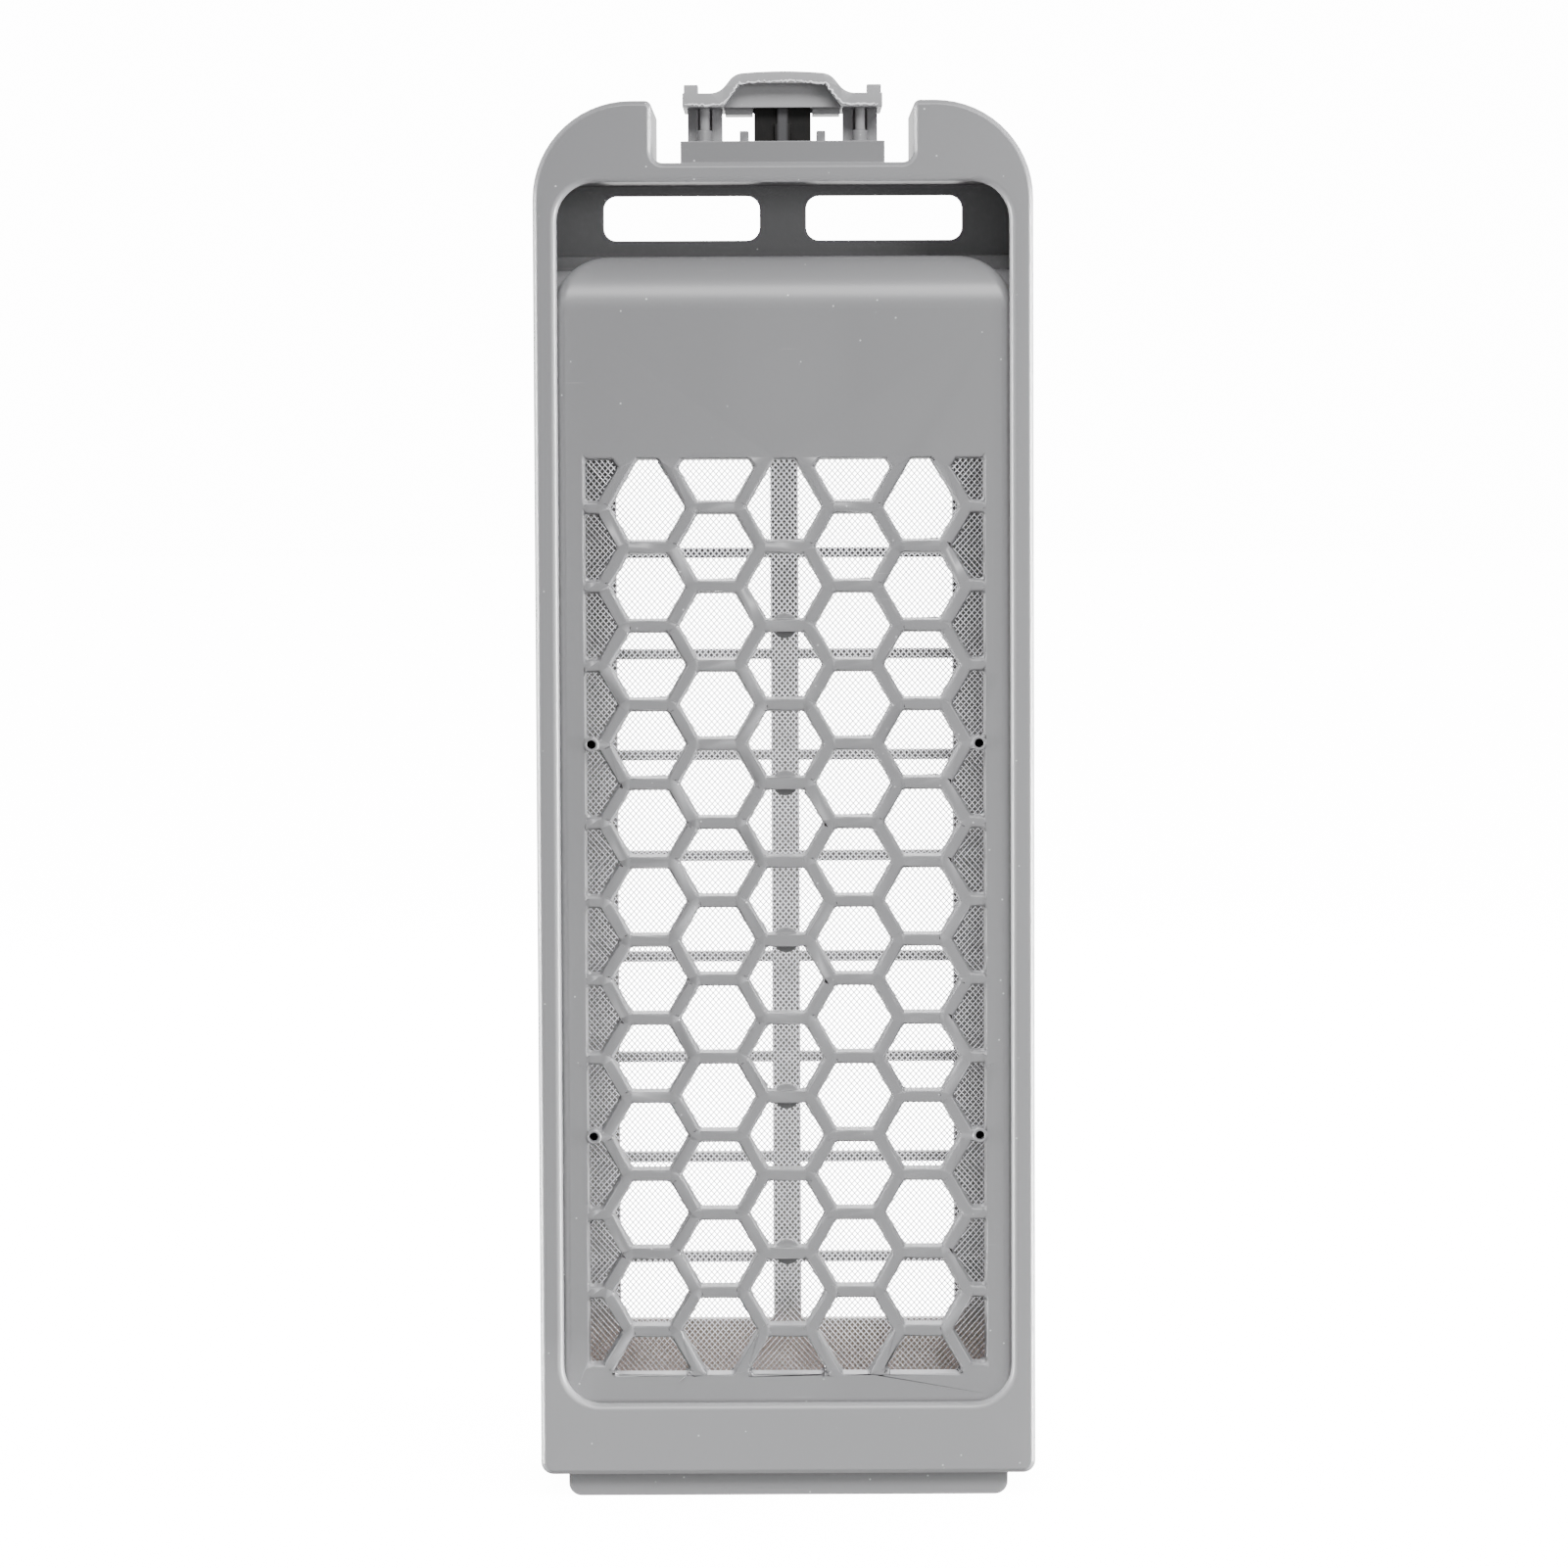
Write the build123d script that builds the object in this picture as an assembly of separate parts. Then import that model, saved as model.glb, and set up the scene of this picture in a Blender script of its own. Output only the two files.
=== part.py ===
from build123d import *
import math
import os

# Lint filter box of a washing machine, in millimetres.
# X runs across the box, Y from the honeycomb face to the rear, Z up. The foot stands on Z = 0.

# Case
case_width = 72.0
case_depth = 36.0
case_height = 199.0
wall = 2.4
front_thickness = 1.8
floor_thickness = 2.5
crown_radius = 14.1
heel_radius = 1.8
edge_break = 0.6

# Locating tongue under the case, which is also its foot
foot_inset = 3.95
foot_depth = 31.0
foot_height = 3.5
foot_radius = 1.9

# Rounded opening in the front frame
frame_border = 3.4
sill_height = 10.35
opening_radius = 5.5
lip_round = 1.0

# Notch in the top and the wall under it
notch_width = 37.6
notch_depth = 8.9
notch_floor_radius = 1.6
notch_brim_radius = 1.0
top_wall = 2.75

# Finger recess above the grille, with two slots in its rear wall
recess_depth = 15.0
recess_height = 10.25
recess_wall = 2.0
slot_width = 22.8
slot_height = 6.5
slot_radius = 1.9
slot_spacing = 29.6
slot_drop = 1.45
ceiling_thickness = 2.0

# Honeycomb grille
panel_thickness = 2.6
panel_round = 2.0
grille_clearance = 0.2
flange_thickness = 1.9
flange_skirt = 14.0
shoulder_radius = 8.0
shoulder_corner = 8.4
gusset_drop = 8.0
cheek_drop = 2.0
rebate_reach = 1.4
seat_gap = 0.1

# Honeycomb cells
cell_pitch = 11.42
bar_width = 1.6
cell_draft_angle = 6.0
field_margin = 3.55
field_sill = 3.95
field_crown = 29.2
first_bar = 6.4
smallest_cell = 2.0

# Pin holes on the side bars and pads behind the centre bars
pin_hole = 1.3
pin_ring = 2.1
ring_height = 0.25
pin_inset = 0.95
pin_rows = (2, 7)
pad_diameter = 3.7
pad_thickness = 1.2
pad_rows = (1, 3, 5, 7, 9)

# Gauze behind the honeycomb
mesh_thickness = 0.3
mesh_margin = 1.5
mesh_columns = 8
mesh_rows = 15
mesh_ridge = 0.6

# Rear cover and its hinge
cover_thickness = 2.0
cover_clearance = 0.35
cover_setback = 0.4
cover_band = 10.3
cover_head = 11.65
cover_rail = 8.05
middle_bar = 4.2
rib_width = 1.5
first_window = 8.65
window_rows = 10
barrel_radius = 2.2
hinge_pin = 2.4
hinge_fit = 0.05
hinge_pin_length = 2.3
tab_width = 16.0
tab_height = 4.6
tab_round = 1.5
stop_width = 1.5
stop_depth = 1.8
stop_inset = 24.0

# Latch seat on the notch floor
seat_width = 29.4
seat_depth = 20.0
seat_height = 3.2
seat_setback = 2.5
stub_height = 1.6
stub_width = 1.3
stub_offset = 5.55
stub_depth = 7.0
socket_outer = 2.2

# Latch button
button_travel = 2.35
cap_width = 28.8
cap_flange = 2.0
cap_rise = 3.1
cap_crown = 0.35
cap_skin = 1.7
plateau_width = 13.8
brim_width = 18.2
plateau_round = 2.6
brim_round = 2.8
web_setback = 2.0
web_thickness = 1.0
guide_pin = 1.4
guide_fit = 0.05
guide_spacing = 22.4
guide_setback = 2.4
guide_engagement = 1.0
leg_width = 5.0
leg_depth = 4.6
leg_skin = 1.5
leg_setback = 4.2
leg_bury = 1.3
leg_clearance = 0.2
barb_width = 2.4
barb_reach = 0.5
barb_height = 0.6
barb_gap = 0.1
lug_width = 2.05
lug_depth = 6.0
lug_height = 1.2
lug_ramp = 1.2
stop_lip_width = 4.0
stop_lip_depth = 8.0
stop_lip_drop = 0.9
boss_sink = 1.2

# Rubber return block
block_width = 8.2
block_depth = 8.0
block_setback = 3.6
block_rib = 1.6
block_rib_foot = 2.4
block_rib_reach = 0.5

# Places worked out from the sizes above
front = -case_depth / 2
rear = case_depth / 2
case_bottom = foot_height
case_top = case_bottom + case_height
notch_floor = case_top - notch_depth
opening_bottom = case_bottom + sill_height
opening_top = notch_floor - top_wall
opening_width = case_width - 2 * frame_border
foot_width = case_width - 2 * foot_inset
inner_half = case_width / 2 - wall
chamber_floor = case_bottom + floor_thickness
lip_back = front + front_thickness
recess_back = front + recess_depth
recess_floor = opening_top - recess_height
ceiling_top = recess_floor - seat_gap
chamber_top = ceiling_top - ceiling_thickness

panel_front = lip_back + seat_gap
panel_back = panel_front + panel_thickness
panel_half = inner_half - grille_clearance
panel_bottom = opening_bottom - rebate_reach
flange_back = recess_back - seat_gap
flange_front = flange_back - flange_thickness
grille_top = recess_floor - 2 * seat_gap
field_width = opening_width - 2 * field_margin
field_bottom = opening_bottom + field_sill
field_top = grille_top - field_crown
column_spacing = cell_pitch * math.cos(math.radians(30))
cell_rise = (cell_pitch - bar_width) / 2
cell_reach = cell_rise / math.cos(math.radians(30))
whole_columns = math.floor((field_width / 2 - cell_reach) / column_spacing)
side_column = whole_columns + 1

cover_back = rear - cover_setback
cover_front = cover_back - cover_thickness
cover_half = inner_half - cover_clearance
cover_top = chamber_top - cover_clearance
hinge_y = cover_back - barrel_radius
hinge_z = chamber_floor + cover_clearance + barrel_radius
window_bottom = hinge_z + barrel_radius + cover_band
window_reach = cover_half - cover_rail

seat_top = notch_floor + seat_height
seat_front = front + seat_setback
stub_top = seat_top + stub_height
lip_bottom = stub_top + button_travel
flange_under = lip_bottom + stop_lip_drop
flange_over = flange_under + cap_flange
cap_top = flange_over + cap_rise
guide_y = seat_front + guide_setback
leg_front = seat_front + leg_setback
leg_bottom = seat_top - leg_bury
block_front = seat_front + block_setback
block_top = lip_bottom + boss_sink


def block_between(x0, x1, y0, y1, z0, z1):
    """A plain block from its lowest to its highest corner."""
    centre = Pos((x0 + x1) / 2, (y0 + y1) / 2, (z0 + z1) / 2)
    return centre * Box(x1 - x0, y1 - y0, z1 - z0)


def front_plate(sketch, y0, y1):
    """A sketch drawn as seen from the front, given thickness from y0 back to y1."""
    return extrude(Plane.XZ.offset(-y1) * sketch, amount=y1 - y0, dir=(0, -1, 0))


def across(sketch, half_width):
    """A sketch drawn as seen from the right, carried across the box."""
    return extrude(Plane.YZ * sketch, amount=half_width, both=True)


def rectangle_between(x0, x1, z0, z1):
    """A flat rectangle from its lowest to its highest corner."""
    return Pos((x0 + x1) / 2, (z0 + z1) / 2) * Rectangle(x1 - x0, z1 - z0)


def round_near(sketch, points, radius):
    """The sketch with the corners at the given points rounded."""
    corners = [sketch.vertices().sort_by_distance(Vector(*point))[0] for point in points]
    return fillet(corners, radius)


def rod(x, y, z0, z1, diameter):
    """An upright round rod."""
    return Pos(x, y, (z0 + z1) / 2) * Cylinder(diameter / 2, z1 - z0)


def outer_outline():
    """Front view of the case: round top corners and almost square bottom ones."""
    half = case_width / 2
    outline = rectangle_between(-half, half, case_bottom, case_top)
    outline = round_near(outline, [(-half, case_top), (half, case_top)], crown_radius)
    return round_near(outline, [(-half, case_bottom), (half, case_bottom)], heel_radius)


def frame_outline():
    """The outline with the latch notch cut into its top edge."""
    half = notch_width / 2
    outline = outer_outline() - rectangle_between(-half, half, notch_floor, case_top + notch_depth)
    outline = round_near(outline, [(-half, notch_floor), (half, notch_floor)], notch_floor_radius)
    return round_near(outline, [(-half, case_top), (half, case_top)], notch_brim_radius)


def opening_outline():
    """Front view of the opening in the frame."""
    half = opening_width / 2
    return round_near(
        rectangle_between(-half, half, opening_bottom, opening_top),
        [(x, z) for x in (-half, half) for z in (opening_bottom, opening_top)],
        opening_radius,
    )


def shoulder_pockets():
    """Hollows behind the frame on both sides of the notch, open to the rear."""
    inside = offset(outer_outline(), -wall)
    inner_edge = notch_width / 2 + wall
    band = rectangle_between(inner_edge, case_width / 2, opening_top + wall, case_top)
    pocket = front_plate(inside & band, lip_back, rear)
    return pocket + mirror(pocket, about=Plane.YZ)


def slot(side):
    """One of the two slots in the rear wall of the finger recess."""
    top = opening_top - slot_drop
    middle = side * slot_spacing / 2
    sketch = Pos(middle, top - slot_height / 2) * RectangleRounded(slot_width, slot_height, slot_radius)
    return front_plate(sketch, recess_back - recess_wall, recess_back + 2 * recess_wall)


def leg_places():
    """Inner and outer edge of the button's leg on each side."""
    middle = guide_spacing / 2
    return [(side * middle - leg_width / 2, side * middle + leg_width / 2) for side in (-1, 1)]


def latch_seat():
    """Raised block on the notch floor with the stop stubs and the guide sockets."""
    half = seat_width / 2
    seat = block_between(-half, half, seat_front, seat_front + seat_depth, notch_floor, seat_top)
    for side in (-1, 1):
        middle = side * stub_offset
        seat += block_between(
            middle - stub_width / 2, middle + stub_width / 2,
            block_front, block_front + stub_depth, seat_top, stub_top,
        )
        seat += rod(side * guide_spacing / 2, guide_y, seat_top, stub_top, socket_outer)
    return seat


def latch_seat_hollows():
    """Guide bores, and leg pockets with the undercut that the barbs catch under."""
    hollows = []
    pin_end = stub_top - guide_engagement - button_travel
    leg_end = leg_bottom - button_travel
    leg_back = leg_front + leg_depth
    for side, (x0, x1) in zip((-1, 1), leg_places()):
        middle = side * guide_spacing / 2
        hollows.append(rod(middle, guide_y, pin_end - leg_clearance, stub_top, guide_pin + 2 * guide_fit))
        hollows.append(block_between(
            x0 - leg_clearance, x1 + leg_clearance, leg_front - leg_clearance, leg_back + leg_clearance,
            leg_end - leg_clearance, seat_top,
        ))
        hollows.append(block_between(
            middle - barb_width / 2 - leg_clearance, middle + barb_width / 2 + leg_clearance,
            leg_front, leg_back + barb_reach + leg_clearance,
            leg_end - leg_clearance, leg_bottom + barb_height + barb_gap,
        ))
    return hollows


def case():
    """The grey moulding that holds everything else."""
    shell = front_plate(frame_outline(), front, rear)
    shell -= block_between(-inner_half, inner_half, lip_back, rear, chamber_floor, opening_top)
    shell -= front_plate(opening_outline(), front, lip_back)
    face = shell.faces().sort_by(Axis.Y)[0]
    shell = fillet(face.inner_wires()[0].edges(), lip_round)
    face = shell.faces().filter_by(Axis.Y).sort_by(Axis.Y)[0]
    shell = chamfer(face.outer_wire().edges(), edge_break)
    shell -= shoulder_pockets()

    shell += block_between(
        -inner_half, inner_half, recess_back, recess_back + recess_wall, chamber_top, opening_top
    )
    shell += block_between(-inner_half, inner_half, recess_back, rear, chamber_top, ceiling_top)
    shell -= [slot(-1), slot(1)]
    tab_half = tab_width / 2 + cover_clearance
    shell -= block_between(
        -tab_half, tab_half, cover_front - cover_clearance, rear, chamber_top, ceiling_top
    )

    stop_back = cover_front - seat_gap
    for side in (-1, 1):
        edge = side * inner_half
        inside = edge - side * stop_width
        shell += block_between(
            min(edge, inside), max(edge, inside), stop_back - stop_depth, stop_back,
            chamber_floor + stop_inset, chamber_top - stop_inset,
        )
    bore = Pos(0, hinge_y, hinge_z) * Rot(0, 90, 0) * Cylinder(hinge_pin / 2 + hinge_fit, case_width)
    shell -= bore

    half = foot_width / 2
    tongue = round_near(
        rectangle_between(-half, half, 0, foot_height), [(-half, 0), (half, 0)], foot_radius
    )
    shell += front_plate(tongue, -foot_depth / 2, foot_depth / 2)
    shell += latch_seat()
    shell -= latch_seat_hollows()
    return shell


def column_start(column):
    """Height of the lowest cell's middle, half a pitch higher in every other column."""
    lift = cell_pitch / 2 if column % 2 == 0 else 0
    return field_bottom + first_bar + lift


def cell_outline(x, z, open_top, open_bottom):
    """One flat-top cell. An open end runs its slanted sides on to the edge of the field."""
    lean = math.tan(math.radians(30))
    upper = field_top - z if open_top else cell_rise
    lower = z - field_bottom if open_bottom else cell_rise
    top_half = cell_reach - upper * lean
    bottom_half = cell_reach - lower * lean
    return Polygon(
        (x + cell_reach, z), (x + top_half, z + upper), (x - top_half, z + upper),
        (x - cell_reach, z), (x - bottom_half, z - lower), (x + bottom_half, z - lower),
        align=None,
    )


def cell_outlines():
    """Every cell of the honeycomb, cut off at the edge of its field."""
    half = field_width / 2
    field = rectangle_between(-half, half, field_bottom, field_top)
    cells = []
    rows = math.ceil((field_top - field_bottom) / cell_pitch) + 1
    for column in range(-side_column, side_column + 1):
        whole = abs(column) <= whole_columns
        for row in range(-1, rows):
            z = column_start(column) + row * cell_pitch
            if not field_bottom - cell_pitch / 2 < z < field_top + cell_pitch / 2:
                continue
            top_bar = z + cell_pitch / 2 + bar_width / 2
            bottom_bar = z - cell_pitch / 2 - bar_width / 2
            open_top = whole and z < field_top and field_top - top_bar < smallest_cell
            open_bottom = whole and z > field_bottom and bottom_bar - field_bottom < smallest_cell
            near_top = z + cell_rise > field_top
            near_bottom = z - cell_rise < field_bottom
            cell = cell_outline(
                column * column_spacing, z, open_top and not near_top, open_bottom and not near_bottom
            )
            piece = cell & field
            tall = min(field_top, z + cell_pitch / 2) - max(field_bottom, z - cell_pitch / 2)
            if tall > smallest_cell + bar_width:
                cells += piece.faces()
    return cells


def pillow():
    """The grille's rounded outer form: a smaller core with square edges, grown outwards all round."""
    top = grille_top - panel_round
    bottom = panel_bottom + panel_round
    half = panel_half - panel_round
    core_front = panel_front + panel_round
    side_view = rectangle_between(core_front, recess_back, bottom, top)
    side_view = round_near(side_view, [(core_front, top)], shoulder_radius - panel_round)
    front_view = rectangle_between(-half, half, bottom, top)
    front_view = round_near(front_view, [(-half, top), (half, top)], shoulder_corner - panel_round)
    core = across(side_view, case_width) & front_plate(front_view, core_front, recess_back)
    return offset(core, panel_round)


def grille():
    """Flat panel with a round shoulder, pierced by the honeycomb."""
    gusset_foot = grille_top - shoulder_radius - gusset_drop
    depth = flange_front - panel_back
    behind = Polygon(
        (panel_back, case_bottom), (panel_back, gusset_foot - depth), (flange_front, gusset_foot),
        (flange_front, case_top), (rear, case_top), (rear, case_bottom),
        align=None,
    )
    body = pillow() - across(behind, case_width)

    cheek_front = panel_front + cheek_drop
    cheek_top = grille_top - cheek_drop
    skirt_foot = grille_top - flange_skirt
    cheek_view = rectangle_between(cheek_front, flange_back, skirt_foot, cheek_top)
    cheek_view = round_near(cheek_view, [(cheek_front, cheek_top)], shoulder_radius - cheek_drop)
    body += across(cheek_view, panel_half)

    inner_half_width = panel_half - panel_thickness
    inner_top = grille_top - panel_thickness
    low = gusset_foot - 2 * depth
    hollow_view = rectangle_between(panel_back, recess_back, low, inner_top)
    hollow_view = round_near(hollow_view, [(panel_back, inner_top)], shoulder_radius - panel_thickness)
    inner_view = rectangle_between(-inner_half_width, inner_half_width, low, inner_top)
    inner_corners = [(-inner_half_width, inner_top), (inner_half_width, inner_top)]
    inner_view = round_near(inner_view, inner_corners, shoulder_corner - panel_thickness)
    hollow = across(hollow_view, case_width) & front_plate(inner_view, panel_back, recess_back)

    body += front_plate(
        rectangle_between(-panel_half, panel_half, skirt_foot, recess_floor), flange_front, flange_back
    )
    body -= hollow

    cells = [
        extrude(Plane.XZ.offset(-panel_front) * cell, amount=-panel_thickness, taper=cell_draft_angle)
        for cell in cell_outlines()
    ]
    body -= cells

    lowest_side_bar = column_start(side_column) + cell_pitch / 2
    places = [
        (side * (field_width / 2 - pin_inset), lowest_side_bar + row * cell_pitch)
        for row in pin_rows for side in (-1, 1)
    ]
    rings = [Pos(x, z) * Circle(pin_ring / 2) for x, z in places]
    holes = [Pos(x, z) * Circle(pin_hole / 2) for x, z in places]
    body += [front_plate(ring, panel_front - ring_height, panel_back) for ring in rings]
    body -= [front_plate(hole, panel_front - ring_height, panel_back) for hole in holes]
    lowest_centre_bar = column_start(0) - cell_pitch / 2
    heights = [lowest_centre_bar + row * cell_pitch for row in pad_rows]
    pads = [Pos(0, height) * Circle(pad_diameter / 2) for height in heights]
    body += [front_plate(pad, panel_back - pad_thickness, panel_back) for pad in pads]
    return body


def mesh():
    """Gauze welded to the back of the honeycomb, drawn with far fewer and wider threads than it has."""
    width = field_width + 2 * mesh_margin
    height = field_top - field_bottom + 2 * mesh_margin
    middle = (field_bottom + field_top) / 2
    gap_width = (width - (mesh_columns + 1) * mesh_ridge) / mesh_columns
    gap_height = (height - (mesh_rows + 1) * mesh_ridge) / mesh_rows
    sheet = Pos(0, middle) * Rectangle(width, height)
    gaps = GridLocations(gap_width + mesh_ridge, gap_height + mesh_ridge, mesh_columns, mesh_rows)
    sheet -= [Pos(0, middle) * gap * Rectangle(gap_width, gap_height) for gap in gaps]
    return front_plate(sheet, panel_back, panel_back + mesh_thickness)


def window_outlines():
    """The windows between the ribs of the rear cover, two columns of them."""
    inner = middle_bar / 2
    first_rib = window_bottom + first_window
    rib_pitch = (cover_top - cover_head - first_rib) / (window_rows - 1)
    outlines = []
    low = window_bottom
    for row in range(window_rows):
        high = first_rib + row * rib_pitch
        outlines.append(rectangle_between(inner, window_reach, low, high))
        outlines.append(rectangle_between(-window_reach, -inner, low, high))
        low = high + rib_width
    return outlines


def rear_cover():
    """Ribbed cover that swings down on two stub pins at its lower edge."""
    plate = rectangle_between(-cover_half, cover_half, hinge_z, cover_top)
    tab = rectangle_between(-tab_width / 2, tab_width / 2, cover_top - tab_round, cover_top + tab_height)
    tab_top = cover_top + tab_height
    tab = round_near(tab, [(-tab_width / 2, tab_top), (tab_width / 2, tab_top)], tab_round)
    cover = front_plate(plate + tab - window_outlines(), cover_front, cover_back)
    along = Pos(0, hinge_y, hinge_z) * Rot(0, 90, 0)
    cover += along * Cylinder(barrel_radius, 2 * cover_half)
    cover += along * Cylinder(hinge_pin / 2, 2 * (cover_half + hinge_pin_length))
    return cover


def hat_hollow():
    """Front view of the hollow under the hat, in the shape of the hat itself."""
    top = cap_top - cap_skin
    slope = (brim_width - plateau_width) / 2 / cap_rise
    upper = plateau_width / 2 - cap_skin / 2
    lower = upper + slope * (top - flange_under)
    return Polygon((-lower, flange_under), (-upper, top), (upper, top), (lower, flange_under), align=None)


def cap_outline():
    """Front view of the hat-shaped cap, with a slightly crowned top."""
    half = cap_width / 2
    brim = brim_width / 2
    plateau = plateau_width / 2
    edge = cap_top - cap_crown
    sides = Polyline(
        (plateau, edge), (brim, flange_over), (half, flange_over), (half, flange_under),
        (-half, flange_under), (-half, flange_over), (-brim, flange_over), (-plateau, edge),
    )
    crown = ThreePointArc((-plateau, edge), (0, cap_top), (plateau, edge))
    outline = make_face(sides + crown)
    outline = round_near(outline, [(-plateau, edge), (plateau, edge)], plateau_round)
    outline = round_near(outline, [(-brim, flange_over), (brim, flange_over)], brim_round)
    return outline - hat_hollow()


def leg(x0, x1):
    """A channel-shaped leg, open to the front, with a barb on its back."""
    back = leg_front + leg_depth
    upright = block_between(x0, x1, leg_front, back, leg_bottom, flange_under)
    upright -= block_between(
        x0 + leg_skin, x1 - leg_skin, leg_front, back - leg_skin, leg_bottom, flange_under
    )
    middle = (x0 + x1) / 2
    barb = Polygon(
        (back, leg_bottom), (back + barb_reach, leg_bottom + barb_height), (back, leg_bottom + barb_height),
        align=None,
    )
    return upright + Pos(middle, 0, 0) * across(barb, barb_width / 2)


def lug(side):
    """A catch lug on the end of the cap, sloped at its rear so that it rides under the frame."""
    outer = side * (cap_width / 2 - leg_clearance)
    inner = outer - side * lug_width
    back = seat_front + lug_depth
    shape = Polygon(
        (seat_front, flange_over), (seat_front, flange_over + lug_height),
        (back - lug_ramp, flange_over + lug_height), (back, flange_over),
        align=None,
    )
    return Pos((outer + inner) / 2, 0, 0) * across(shape, lug_width / 2)


def latch_button():
    """Hat-shaped cap on two guide pins and two barbed legs."""
    back = seat_front + seat_depth
    button = front_plate(cap_outline(), seat_front, back)
    web_front = seat_front + web_setback
    button += front_plate(hat_hollow(), web_front, web_front + web_thickness)
    button += front_plate(hat_hollow(), back - web_setback - web_thickness, back - web_setback)
    half = block_width / 2
    boss_top = cap_top - cap_skin
    button += block_between(-half, half, block_front, block_front + block_depth, block_top, boss_top)
    pin_end = stub_top - guide_engagement
    for side, (x0, x1) in zip((-1, 1), leg_places()):
        button += rod(side * guide_spacing / 2, guide_y, pin_end, flange_under, guide_pin)
        button += leg(x0, x1)
        button += lug(side)
        inner = side * (half + leg_clearance)
        outer = inner + side * stop_lip_width
        button += block_between(
            min(inner, outer), max(inner, outer), block_front, block_front + stop_lip_depth,
            lip_bottom, flange_over,
        )
    return button


def return_block():
    """Rubber block with a stepped rib down its front."""
    half = block_width / 2
    block = block_between(-half, half, block_front, block_front + block_depth, seat_top, block_top)
    step = (seat_top + block_top) / 2
    for rib, z0, z1 in ((block_rib_foot, seat_top, step), (block_rib, step, block_top)):
        block += block_between(-rib / 2, rib / 2, block_front - block_rib_reach, block_front, z0, z1)
    return block


parts = {
    "case": case(),
    "honeycomb_grille": grille(),
    "lint_mesh": mesh(),
    "rear_cover": rear_cover(),
    "latch_button": latch_button(),
    "return_block": return_block(),
}

os.makedirs("parts", exist_ok=True)
for name, shape in parts.items():
    export_step(shape, f"parts/{name}.step")
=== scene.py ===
# %% [markdown]
# # Lint filter box of a washing machine
# The solid model of the box is loaded first, as a fixed frame in metres. Everything that this lesson
# adds is placed in that same frame, so a piece goes where the solids say and nothing is fitted by eye.

# %% Load the solid model
import math
import random

import bmesh
import bpy
from mathutils import Matrix, Vector


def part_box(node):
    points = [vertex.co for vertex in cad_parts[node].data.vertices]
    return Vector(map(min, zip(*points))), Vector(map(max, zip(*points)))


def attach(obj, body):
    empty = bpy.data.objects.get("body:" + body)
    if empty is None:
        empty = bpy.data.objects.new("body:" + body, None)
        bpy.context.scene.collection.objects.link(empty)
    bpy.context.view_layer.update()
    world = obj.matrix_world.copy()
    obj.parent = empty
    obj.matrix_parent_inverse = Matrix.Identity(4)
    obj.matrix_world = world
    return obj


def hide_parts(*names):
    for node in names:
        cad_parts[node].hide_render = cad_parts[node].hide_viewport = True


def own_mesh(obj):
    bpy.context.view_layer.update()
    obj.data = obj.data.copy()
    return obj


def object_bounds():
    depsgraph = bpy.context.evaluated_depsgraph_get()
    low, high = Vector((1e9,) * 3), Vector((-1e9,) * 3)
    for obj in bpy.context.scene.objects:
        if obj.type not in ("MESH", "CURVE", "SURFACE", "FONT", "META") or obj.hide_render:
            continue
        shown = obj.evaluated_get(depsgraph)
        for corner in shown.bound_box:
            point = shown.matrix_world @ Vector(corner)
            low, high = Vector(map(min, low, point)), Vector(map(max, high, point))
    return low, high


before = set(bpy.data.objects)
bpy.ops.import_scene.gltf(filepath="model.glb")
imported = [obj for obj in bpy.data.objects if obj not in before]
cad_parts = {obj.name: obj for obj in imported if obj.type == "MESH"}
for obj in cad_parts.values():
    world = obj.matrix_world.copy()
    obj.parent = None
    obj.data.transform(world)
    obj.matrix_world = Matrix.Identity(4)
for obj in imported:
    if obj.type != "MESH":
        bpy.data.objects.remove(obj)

MM = 0.001
cad_low, cad_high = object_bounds()
print("solid model from", [round(v, 4) for v in cad_low], "to", [round(v, 4) for v in cad_high])

# %% [markdown]
# ## Camera
# The box is photographed from straight in front and a little above, with a long lens: its sides stay
# almost parallel, and only a narrow strip of each lower cell wall shows. The lens is worked out from how
# many millimetres the picture spans at the box, so distance and picture size can be set by themselves.

# %% Camera
CAMERA_DISTANCE = 850 * MM
PICTURE_SPAN = 231.5 * MM
PICTURE_MIDDLE = 103.05 * MM
CAMERA_SIDE = -0.2 * MM
CAMERA_PITCH = math.radians(3.6)
CAMERA_ROLL = math.radians(-0.254)
SENSOR = 36.0

lens = bpy.data.cameras.new("studio_camera")
lens.sensor_width = SENSOR
lens.lens = SENSOR * CAMERA_DISTANCE / PICTURE_SPAN
lens.clip_start = 10 * MM
lens.clip_end = 20.0
camera = bpy.data.objects.new("studio_camera", lens)
bpy.context.scene.collection.objects.link(camera)
height = PICTURE_MIDDLE + CAMERA_DISTANCE * math.sin(CAMERA_PITCH)
back = CAMERA_DISTANCE * math.cos(CAMERA_PITCH)
turn = Matrix.Rotation(math.pi / 2 - CAMERA_PITCH, 4, "X") @ Matrix.Rotation(CAMERA_ROLL, 4, "Z")
camera.matrix_world = Matrix.Translation((CAMERA_SIDE, -back, height)) @ turn
bpy.context.scene.camera = camera
print(f"lens {lens.lens:.1f} mm, camera {height / MM:.0f} mm above the floor")

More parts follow.
